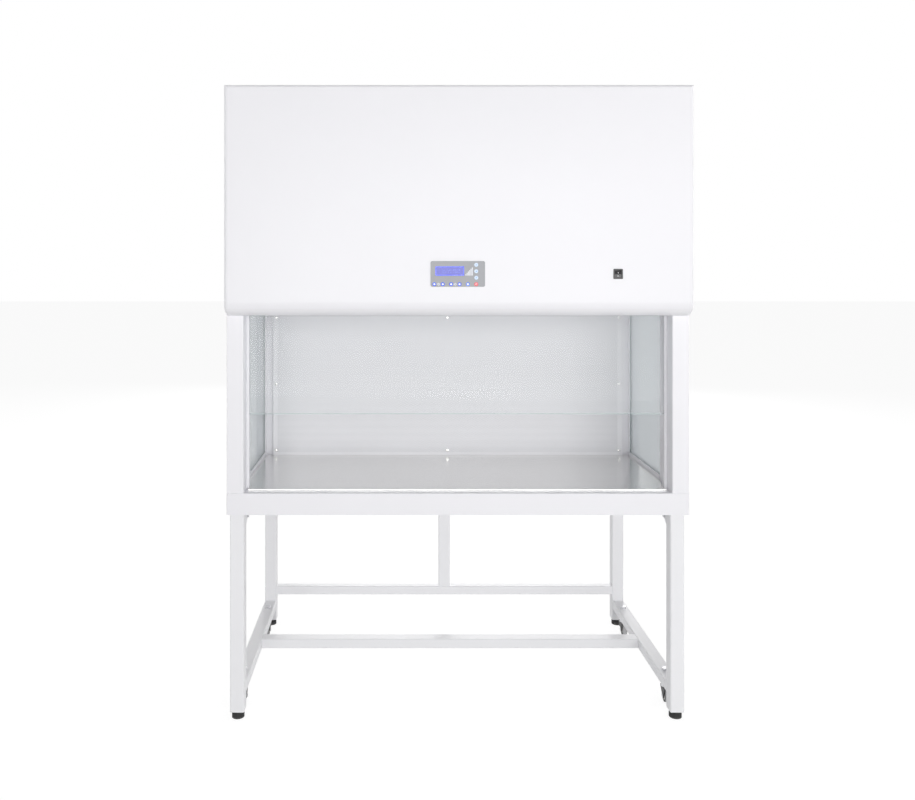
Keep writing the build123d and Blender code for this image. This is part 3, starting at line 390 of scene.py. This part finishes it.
def blackRubber():
    rubber = Recipe("blackFootRubber")
    z = rubber.axes()[2]
    grain = rubber.noise(700.0, 3.0, 0.65)
    dust = rubber.noise(38.0, 4.0, 0.6)
    scuff = (1 - z.step(0.0, foot["scuffTop"])) * dust
    stud = z.edge(foot["padTop"], 0.0002)
    tone = rubber.blend(scuff, foot["rubber"], foot["dust"])
    return rubber.finish(
        Base_Color=rubber.blend(stud, tone, foot["stud"]),
        Metallic=stud,
        Roughness=0.72 + grain * 0.16 - stud * 0.4,
        Normal=rubber.bump(grain, 0.4, 0.0002),
    )


corners = [f"{end}_{side}" for end in ("front", "back") for side in ("left", "right")]
feet = [f"levelling_foot_{tag}" for tag in corners]
dress(blackRubber(), *feet)
soften(*feet)

caster = {
    "fork": (0.018, 0.018, 0.020),
    "axle": (0.68, 0.68, 0.70),
    "axleReach": 0.01075,
    "hub": (0.72, 0.71, 0.69),
    "side": (0.03, 0.03, 0.032),
    "tread": (0.50, 0.50, 0.51),
    "rimRadius": 0.0112,
    "treadRadius": 0.0162,
    "edge": 0.0003,
    "brake": (0.02, 0.02, 0.021),
}


def forkCoat(name, centerX):  # black fork with a bare axle
    coatMix = Recipe(name)
    x = coatMix.axes()[0]
    grain = coatMix.noise(500.0, 3.0)
    head = abs(x - centerX).step(caster["axleReach"], caster["axleReach"] + 0.00015)
    tone = coatMix.blend(grain, shade(caster["fork"], 0.8), shade(caster["fork"], 1.5))
    return coatMix.finish(
        Base_Color=coatMix.blend(head, tone, caster["axle"]),
        Metallic=head,
        Roughness=0.38 + grain * 0.12 - head * 0.14,
        Normal=coatMix.bump(grain, 0.25, 0.00008),
    )


def wheelFinish(name, center):  # pale hub, black side, grey tread
    wheel = Recipe(name)
    _, y, z = wheel.axes()
    reach = ((y - center[1]) ** 2 + (z - center[2]) ** 2) ** 0.5
    hub = 1 - reach.edge(caster["rimRadius"], caster["edge"])
    tread = reach.edge(caster["treadRadius"], caster["edge"])
    grain = wheel.noise(600.0, 3.0, 0.6)
    dirt = wheel.noise(90.0, 4.0, 0.6)
    tone = wheel.blend(hub, caster["side"], caster["hub"])
    grey = wheel.blend(dirt, shade(caster["tread"], 0.7), shade(caster["tread"], 1.15))
    return wheel.finish(
        Base_Color=wheel.blend(tread, tone, grey),
        Roughness=0.5 + grain * 0.2,
        Normal=wheel.bump(grain, 0.3, 0.0001),
    )


for tag in corners:
    low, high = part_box(f"caster_wheel_{tag}")
    center = (low + high) / 2
    dress(wheelFinish(f"casterWheel_{tag}", center), f"caster_wheel_{tag}")
    dress(forkCoat(f"casterFork_{tag}", center.x), f"caster_fork_{tag}")
    soften(f"caster_wheel_{tag}", f"caster_fork_{tag}")


def moulded(name, colour, roughness):  # moulded plastic with a fine grain
    plastic = Recipe(name)
    grain = plastic.noise(520.0, 3.0, 0.6)
    cloud = plastic.noise(24.0, 2.0)
    return plastic.finish(
        Base_Color=plastic.blend(cloud, shade(colour, 0.88), shade(colour, 1.12)),
        Roughness=grain * 0.12 + (roughness - 0.05),
        Normal=plastic.bump(grain, 0.3, 0.00008),
    )


brakes = ("caster_brake_back_left", "caster_brake_back_right")
dress(moulded("brakePlastic", caster["brake"], 0.5), *brakes)
soften(*brakes)
print("feet and casters done")


# Filters, lamps and blower

blower = {"sheet": (0.58, 0.60, 0.62), "motor": (0.55, 0.56, 0.58), "spangleScale": 95.0}


def spangled(name, colour):  # galvanised sheet with its spangle
    sheet = Recipe(name)
    inputs = {"Vector": sheet.where(), "Scale": blower["spangleScale"]}
    cells = sheet.node("ShaderNodeTexVoronoi", {"feature": "F1"}, inputs, out=1)
    spangle = sheet.node("ShaderNodeSeparateColor", None, {0: cells})
    grain = sheet.noise(300.0, 2.0)
    return sheet.finish(
        Base_Color=sheet.blend(spangle, shade(colour, 0.82), shade(colour, 1.12)),
        Metallic=1.0,
        Roughness=spangle * 0.16 + grain * 0.08 + 0.28,
        Normal=sheet.bump(grain, 0.15, 0.00006),
    )


dress(spangled("galvanisedSheet", blower["sheet"]), "blower_housing", "impeller")
soften("blower_housing", "impeller", angle=30)
dress(platedSteel("castMotor", blower["motor"], 0.5), "blower_motor")
soften("blower_motor")

filterPack = {
    "halfWidth": 0.594,
    "low": 0.6705,
    "high": 1.120,
    "paper": ((0.82, 0.82, 0.79), (0.92, 0.92, 0.90)),
    "frame": ((0.62, 0.63, 0.64), (0.70, 0.71, 0.72)),
}


def filterMedia():
    media = Recipe("filterMedia")
    x, _, z = media.axes()
    inside = 1 - abs(x).step(filterPack["halfWidth"], filterPack["halfWidth"] + 0.0004)
    inside = inside * z.between(filterPack["low"], filterPack["high"], 0.0002)
    fibres = media.noise(1.0, 4.0, 0.7, media.stretch(900, 900, 160))
    paper = media.blend(fibres, *filterPack["paper"])
    frameTone = media.blend(media.noise(14.0, 3.0), *filterPack["frame"])
    return media.finish(
        Base_Color=media.blend(inside, frameTone, paper),
        Metallic=(1 - inside) * 0.9,
        Roughness=inside * 0.45 + 0.38 + fibres * 0.08,
        Normal=media.bump(fibres, 0.35, 0.0002),
    )


dress(filterMedia(), "hepa_filter")

preFilter = {
    "halfWidth": 0.1875,
    "front": -0.098,
    "back": 0.128,
    "mat": ((0.46, 0.50, 0.53), (0.80, 0.83, 0.85)),
    "frame": (0.56, 0.57, 0.58),
}


def filterMat():
    mat = Recipe("preFilterMat")
    x, y, _ = mat.axes()
    fibres = mat.noise(320.0, 6.0, 0.75)
    clumps = mat.noise(60.0, 3.0)
    field = 1 - abs(x).step(preFilter["halfWidth"], preFilter["halfWidth"] + 0.001)
    field = field * y.between(preFilter["front"], preFilter["back"], 0.0005)
    tone = mat.blend(fibres * 0.7 + clumps * 0.3, *preFilter["mat"])
    return mat.finish(
        Base_Color=mat.blend(field, preFilter["frame"], tone),
        Metallic=(1 - field) * 0.9,
        Roughness=field * 0.5 + 0.4,
        Normal=mat.bump(fibres * field, 0.9, 0.001),
    )


dress(filterMat(), "pre_filter")

lamp = {
    "capX": 0.436,
    "endX": 0.405,
    "cap": (0.70, 0.70, 0.71),
    "work": (0.90, 0.91, 0.92),
    "germicidal": (0.78, 0.84, 0.90),
    "germicidalAlpha": 0.45,
}


def lampFinish(name, glassColour, alpha):  # tube glass with metal end caps
    tube = Recipe(name)
    x = tube.axes()[0]
    cap = abs(x).edge(lamp["capX"], 0.0002)
    end = abs(x).step(lamp["endX"], lamp["capX"])
    grain = tube.noise(400.0, 2.0)
    body = tube.blend(end * 0.5, glassColour, shade(glassColour, 0.75))
    return tube.finish(
        Base_Color=tube.blend(cap, body, lamp["cap"]),
        Metallic=cap,
        Roughness=grain * 0.06 + 0.16 + cap * 0.14,
        Alpha=cap.larger(alpha),
    )


dress(lampFinish("workLampGlass", lamp["work"], 1.0), "work_lamp")
dress(lampFinish("germicidalLampGlass", lamp["germicidal"], lamp["germicidalAlpha"]), "germicidal_lamp")
soften("work_lamp", "germicidal_lamp")
dress(powderCoat("grilleCoat", coat["grille"]), "intake_grille")
print("filters, lamps and blower done")


# Domed screw heads, modelled once at the origin along +Z and copied to the CAD's screws

screw = {
    "sides": 24,
    "radius": 0.0045,
    "height": 0.0026,
    "rounding": 0.0016,
    "segments": 4,
    "recess": 0.0012,
    "recessDepth": 0.0012,
    "frontLimit": 0.2,
    "colour": (0.80, 0.79, 0.77),
}


def selectFaces(obj, chosen):  # ends in edit mode
    bpy.ops.object.mode_set(mode="EDIT")
    bpy.ops.mesh.select_mode(type="FACE")
    bpy.ops.mesh.select_all(action="DESELECT")
    bpy.ops.object.mode_set(mode="OBJECT")
    for face in obj.data.polygons:
        face.select = chosen(face)
    bpy.ops.object.mode_set(mode="EDIT")


def domedHead():  # a rounded head with its drive recess
    height = screw["height"]
    bpy.ops.object.select_all(action="DESELECT")
    bpy.ops.mesh.primitive_cylinder_add(
        vertices=screw["sides"], radius=screw["radius"], depth=height, location=(0, 0, height / 2))
    head = bpy.context.object
    bpy.ops.object.transform_apply(location=True, rotation=True, scale=True)

    def onTop(face):
        return face.normal.z > 0.99 and face.center.z > height * 0.99

    selectFaces(head, onTop)
    bpy.ops.mesh.bevel(offset=screw["rounding"], segments=screw["segments"], affect="EDGES")
    bpy.ops.object.mode_set(mode="OBJECT")
    selectFaces(head, onTop)
    bpy.ops.mesh.inset(thickness=screw["radius"] - screw["rounding"] - screw["recess"])
    bpy.ops.mesh.extrude_region_move(
        TRANSFORM_OT_translate={"value": (0, 0, -screw["recessDepth"])})
    bpy.ops.object.mode_set(mode="OBJECT")
    return head


def placeCopies(pattern, name, places):  # a copy at each place, along its direction, joined
    bpy.ops.object.select_all(action="DESELECT")
    for place, direction in places:
        copy = pattern.copy()
        copy.data = pattern.data.copy()
        copy.location = place
        copy.rotation_euler = Vector((0, 0, 1)).rotation_difference(Vector(direction)).to_euler()
        bpy.context.scene.collection.objects.link(copy)
        copy.select_set(True)
        bpy.context.view_layer.objects.active = copy
    bpy.ops.object.transform_apply(location=True, rotation=True, scale=True)
    bpy.ops.object.join()
    joined = bpy.context.object
    joined.name = name
    return joined


def solidBoxes(name):  # the boxes of a node's separate solids
    mesh = nodes[name].data
    parent = list(range(len(mesh.vertices)))
    spots = {}
    for vertex in mesh.vertices:  # the node's triangles are loose: equal places are one point
        key = tuple(round(c, 5) for c in vertex.co)
        spots.setdefault(key, vertex.index)
        parent[vertex.index] = spots[key]

    def root(index):
        while parent[index] != index:
            index = parent[index]
        return index

    for edge in mesh.edges:
        first, second = root(edge.vertices[0]), root(edge.vertices[1])
        if first != second:
            parent[max(first, second)] = min(first, second)
    groups = {}
    for vertex in mesh.vertices:
        groups.setdefault(root(vertex.index), []).append(vertex.co)
    return [
        tuple(Vector([pick(c[axis] for c in points) for axis in range(3)]) for pick in (min, max))
        for points in groups.values()
    ]


screwPlaces = []
for low, high in solidBoxes("panel_screws"):
    center = (low + high) / 2
    facesFront = center.y < screw["frontLimit"]
    seat = high.y if facesFront else low.y
    screwPlaces.append(((center.x, seat, center.z), (0, -1 if facesFront else 1, 0)))
screwHead = domedHead()
screws = placeCopies(screwHead, "domed_panel_screws", screwPlaces)
bpy.data.objects.remove(screwHead)
dress(platedSteel("screwHeads", screw["colour"], 0.2), screws)
soften(screws)
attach(screws, "cabinet")
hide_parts("panel_screws")
print("screw heads done:", len(screwPlaces))


# Control panel: grey bezel with its printed signs, display and keys

low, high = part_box("control_panel")
panel = {
    "x1": high.x,
    "grey": (0.375, 0.38, 0.405),
    "print": (0.80, 0.82, 0.88),
    "line": (0.24, 0.245, 0.27),
    "bars": 6,
    "barLeft": low.x + 0.0955,
    "barBase": low.z + 0.0310,
    "barPitch": 0.0036,
    "barWidth": 0.0026,
    "barHeight": 0.004,
    "barRise": 0.0037,
    "barEdge": 0.00015,
    "signDash": 0.0052,
    "face": -0.3978,
}
keyNames = ("key_lamp", "key_germicidal", "key_slower", "key_faster", "key_socket", "key_power",
            "key_down", "key_enter", "key_up")
keyCenters = {}
for name in keyNames:
    low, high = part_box(name)
    keyCenters[name] = (low + high) / 2


def bezelFinish():
    bezel = Recipe("panelBezel")
    x, y, z = bezel.axes()
    grain = bezel.noise(650.0, 3.0, 0.6)
    cloud = bezel.noise(30.0, 2.0)
    tone = bezel.blend(cloud, shade(panel["grey"], 0.94), shade(panel["grey"], 1.06))
    ink = None
    for i in range(panel["bars"]):  # rising level bars beside the display
        start = panel["barLeft"] + panel["barPitch"] * i
        top = panel["barBase"] + panel["barHeight"] + panel["barRise"] * i
        bar = x.between(start, start + panel["barWidth"], panel["barEdge"])
        bar = bar * z.between(panel["barBase"], top, panel["barEdge"])
        ink = bar if ink is None else ink.larger(bar)
    for first, second in (("key_lamp", "key_germicidal"), ("key_slower", "key_faster")):
        middle = (keyCenters[first].x + keyCenters[second].x) / 2
        height = keyCenters[first].z
        reach = ((x - middle) ** 2 + (z - height) ** 2) ** 0.5
        sign = reach.between(0.0016, 0.0034, 0.0002)
        dash = abs(abs(x - middle) - panel["signDash"]).step(0.0, 0.0014)
        dash = (1 - dash) * (1 - abs(z - height).step(0.0004, 0.0007))
        ink = ink.larger(sign).larger(dash)
    line = abs(x - (panel["x1"] - 0.0035)).step(0.0, 0.0005)
    frontFace = 1 - y.edge(panel["face"], 0.0001)
    tone = bezel.blend((1 - line) * frontFace * 0.5, tone, panel["line"])
    return bezel.finish(
        Base_Color=bezel.blend(ink * frontFace, tone, panel["print"]),
        Roughness=grain * 0.12 + 0.36,
        Normal=bezel.bump(grain, 0.2, 0.00005),
    )


dress(bezelFinish(), "control_panel")
soften("control_panel")

display = {
    "rim": 0.0022,
    "glow": (0.010, 0.045, 0.72),
    "dark": (0.006, 0.012, 0.34),
    "text": (0.05, 0.10, 0.62),
    "cellWidth": 0.0034,
    "cellHeight": 0.0062,
    "textLeft": 0.018,
    "textRight": 0.012,
    "textTop": 0.0186,
}


def displayFinish():
    low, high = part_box("display_window")
    lcd = Recipe("displayGlass")
    x, _, z = lcd.axes()
    rim = display["rim"]
    inner = x.between(low.x + rim, high.x - rim, 0.0003)
    inner = inner * z.between(low.z + rim, high.z - rim, 0.0003)
    cellX = (x - low.x) / display["cellWidth"]
    cellZ = (z - low.z) / display["cellHeight"]
    dots = (cellX % 1.0).between(0.18, 0.82, 0.05) * (cellZ % 1.0).between(0.2, 0.8, 0.05)
    dots = dots * (lcd.noise(410.0, 0.0) > 0.5)
    dots = dots * x.between(low.x + display["textLeft"], high.x - display["textRight"], 0.0002)
    dots = dots * z.between(low.z + display["cellHeight"], low.z + display["textTop"], 0.0002)
    tone = lcd.blend(inner, display["glow"], display["dark"])
    tone = lcd.blend(dots * 0.55, tone, display["text"])
    return lcd.finish(
        Base_Color=tone,
        Roughness=0.12,
        Specular_IOR_Level=0.5,
        Emission_Color=tone,
        Emission_Strength=0.55,
        Coat_Weight=0.3,
    )


dress(displayFinish(), "display_window")

keys = {
    "ring": (0.012, 0.10, 0.86),
    "cap": (0.62, 0.76, 0.97),
    "white": (0.90, 0.92, 0.98),
    "red": (0.88, 0.045, 0.075),
    "socket": (0.10, 0.24, 0.90),
    "redSign": (0.97, 0.80, 0.80),
    "ringInner": 0.0026,
}


def keyFinish(name, center, outside, inside, sign):
    key = Recipe(name)
    x, _, z = key.axes()
    across = x - center.x
    up = z - center.z
    reach = (across * across + up * up) ** 0.5
    middle = 1 - reach.edge(keys["ringInner"], 0.0002)
    grain = key.noise(900.0, 2.0)
    tone = key.blend(middle, outside, inside)
    ink = keys["redSign"] if inside == keys["red"] else keys["ring"]
    return key.finish(
        Base_Color=key.blend(sign(across, up, reach), tone, ink),
        Roughness=grain * 0.08 + 0.26,
        Normal=key.bump(grain, 0.2, 0.00004),
        Coat_Weight=0.25,
    )


def noSign(across, up, reach):
    return reach < -1.0


def dotSign(across, up, reach):
    return 1 - reach.step(0.0011, 0.0014)


def upSign(across, up, reach):
    return (1 - (abs(across) * 1.6 + up).step(0.0012, 0.0014)) * up.step(-0.0012, -0.0010)


def downSign(across, up, reach):
    return upSign(across, -up, reach)


def powerSign(across, up, reach):
    gap = up.step(0.0012, 0.0014) * (1 - abs(across).step(0.0008, 0.001))
    circle = reach.between(0.0020, 0.0027, 0.00012) * (1 - gap)
    bar = (1 - abs(across).step(0.00025, 0.0004)) * up.between(0.0003, 0.0030, 0.0001)
    return circle.larger(bar)


looks = {
    "key_lamp": (keys["ring"], keys["white"], noSign),
    "key_germicidal": (keys["ring"], keys["white"], noSign),
    "key_slower": (keys["ring"], keys["white"], noSign),
    "key_faster": (keys["ring"], keys["white"], noSign),
    "key_socket": (keys["socket"], keys["white"], noSign),
    "key_power": (keys["red"], keys["red"], powerSign),
    "key_down": (keys["cap"], keys["cap"], downSign),
    "key_enter": (keys["cap"], keys["cap"], dotSign),
    "key_up": (keys["cap"], keys["cap"], upSign),
}
for name, (outside, inside, sign) in looks.items():
    dress(keyFinish(name + "Cap", keyCenters[name], outside, inside, sign), name)
    soften(name)
print("control panel done")


# Mains switch and inlet

switch = {
    "black": (0.014, 0.014, 0.016),
    "sign": (0.86, 0.86, 0.88),
    "frame": (0.016, 0.016, 0.018),
    "ringDrop": 0.0044,
}


def rockerFinish():
    low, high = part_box("switch_rocker")
    center = (low + high) / 2
    rocker = Recipe("rockerPlastic")
    x, _, z = rocker.axes()
    grain = rocker.noise(500.0, 2.0)
    across = x - center.x
    up = z - center.z
    bar = (1 - abs(across).step(0.0006, 0.0008)) * up.between(0.0028, 0.0062, 0.0001)
    ringReach = (across * across + (up + switch["ringDrop"]) ** 2) ** 0.5
    ring = ringReach.between(0.0012, 0.0019, 0.0001)
    return rocker.finish(
        Base_Color=rocker.blend(bar.larger(ring), switch["black"], switch["sign"]),
        Roughness=grain * 0.1 + 0.2,
        Normal=rocker.bump(grain, 0.2, 0.00004),
    )


dress(rockerFinish(), "switch_rocker")
dress(moulded("switchPlastic", switch["frame"], 0.34), "switch_frame")

inletPins = {
    "black": (0.018, 0.018, 0.02),
    "brass": (0.78, 0.66, 0.38),
    "spacing": 0.0035,
    "halfWidth": 0.00105,
    "y": (0.3776, 0.3890),
    "z": (1.2212, 1.2298),
}


def inletFinish():  # black plastic with three brass pins
    low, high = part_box("power_inlet")
    inlet = Recipe("inletPlastic")
    x, y, z = inlet.axes()
    grain = inlet.noise(600.0, 3.0)
    across = abs(abs(x - (low.x + high.x) / 2) - inletPins["spacing"]) - inletPins["spacing"]
    pin = 1 - abs(across).step(inletPins["halfWidth"], inletPins["halfWidth"] + 0.00007)
    pin = pin * y.between(*inletPins["y"], 0.0001) * z.between(*inletPins["z"], 0.0001)
    return inlet.finish(
        Base_Color=inlet.blend(pin, inletPins["black"], inletPins["brass"]),
        Metallic=pin,
        Roughness=grain * 0.12 + 0.36,
        Normal=inlet.bump(grain, 0.3, 0.00006),
    )


dress(inletFinish(), "power_inlet")
print("switch and inlet done")


# Floor, light and camera

studio = {
    "floor": 0.90,
    "floorGlow": 1.19,
    "glowShare": 0.74,
    "world": 0.30,
    "aim": (0, 0, 0.95),
    "lamps": {
        "frontLight": ((0.5, -6.5, 1.15), (5.0, 2.6), 195.0),
        "keyLight": ((3.6, -4.5, 2.2), (3.0, 3.0), 40.0),
        "rightLight": ((5.5, 1.0, 2.0), (3.0, 3.0), 48.0),
        "leftLight": ((-5.5, 1.0, 2.0), (3.0, 3.0), 48.0),
        "backLight": ((0.5, 6.5, 2.4), (4.0, 3.0), 120.0),
    },
}


def studioFloor():  # a plain floor that the camera, mirrors and glass see as nearly white
    bpy.ops.mesh.primitive_plane_add(size=60, location=(0, 8, 0))
    floor = bpy.context.object
    floor.name = "studioFloor"
    ground = Recipe("paleFloor")
    seen, mirrored, through = (ground.node("ShaderNodeLightPath", out=out) for out in (0, 3, 6))
    tone = studio["floor"]
    plain = ground.node("ShaderNodeBsdfDiffuse", None, {"Color": (tone, tone, tone)})
    light = {"Color": (1.0, 1.0, 1.0), "Strength": studio["floorGlow"]}
    bright = ground.node("ShaderNodeEmission", None, light)
    part = seen.larger(mirrored).larger(through) * studio["glowShare"]
    mixed = ground.node("ShaderNodeMixShader", None, {0: part, 1: plain, 2: bright})
    ground.tree.links.new(mixed.socket, ground.output.inputs[0])
    floor.data.materials.append(ground.material)


def studioWorld():  # white where it is seen, soft where it lights
    world = bpy.data.worlds.new("softRoom")
    bpy.context.scene.world = world
    world.use_nodes = True
    tree = world.node_tree
    tree.nodes.clear()
    output = tree.nodes.new("ShaderNodeOutputWorld")
    background = tree.nodes.new("ShaderNodeBackground")
    path = tree.nodes.new("ShaderNodeLightPath")
    seen = path.outputs["Is Camera Ray"]
    for ray in ("Is Transmission Ray", "Is Glossy Ray"):
        either = tree.nodes.new("ShaderNodeMath")
        either.operation = "MAXIMUM"
        tree.links.new(seen, either.inputs[0])
        tree.links.new(path.outputs[ray], either.inputs[1])
        seen = either.outputs[0]
    strength = tree.nodes.new("ShaderNodeMapRange")
    strength.inputs["To Min"].default_value = studio["world"]
    strength.inputs["To Max"].default_value = 1.0
    tree.links.new(seen, strength.inputs["Value"])
    tree.links.new(strength.outputs[0], background.inputs["Strength"])
    background.inputs["Color"].default_value = (1.0, 1.0, 1.0, 1.0)
    tree.links.new(background.outputs[0], output.inputs[0])


def softLamp(name, place, size, power):
    light = bpy.data.lights.new(name, "AREA")
    light.shape = "RECTANGLE"
    light.size, light.size_y = size
    light.energy = power
    obj = bpy.data.objects.new(name, light)
    bpy.context.scene.collection.objects.link(obj)
    obj.location = place
    aim = Vector(studio["aim"]) - Vector(place)
    obj.rotation_euler = aim.to_track_quat("-Z", "Y").to_euler()


studioFloor()
studioWorld()
for name, (place, size, power) in studio["lamps"].items():
    softLamp(name, place, size, power)

view = {
    "place": (-0.174, -2.745, 1.264),
    "lens": 33.5,
    "sensor": 36,
    "shiftX": 0.0672,
    "shiftY": -0.1366,
}
lens = bpy.data.cameras.new("photoCamera")
lens.lens = view["lens"]
lens.sensor_width = view["sensor"]
lens.sensor_fit = "HORIZONTAL"
lens.shift_x = view["shiftX"]
lens.shift_y = view["shiftY"]
camera = bpy.data.objects.new("photoCamera", lens)
camera.location = view["place"]
camera.rotation_euler = (pi / 2, 0, 0)
bpy.context.scene.collection.objects.link(camera)
bpy.context.scene.camera = camera
bpy.context.scene.view_settings.view_transform = "Standard"
print("studio done")
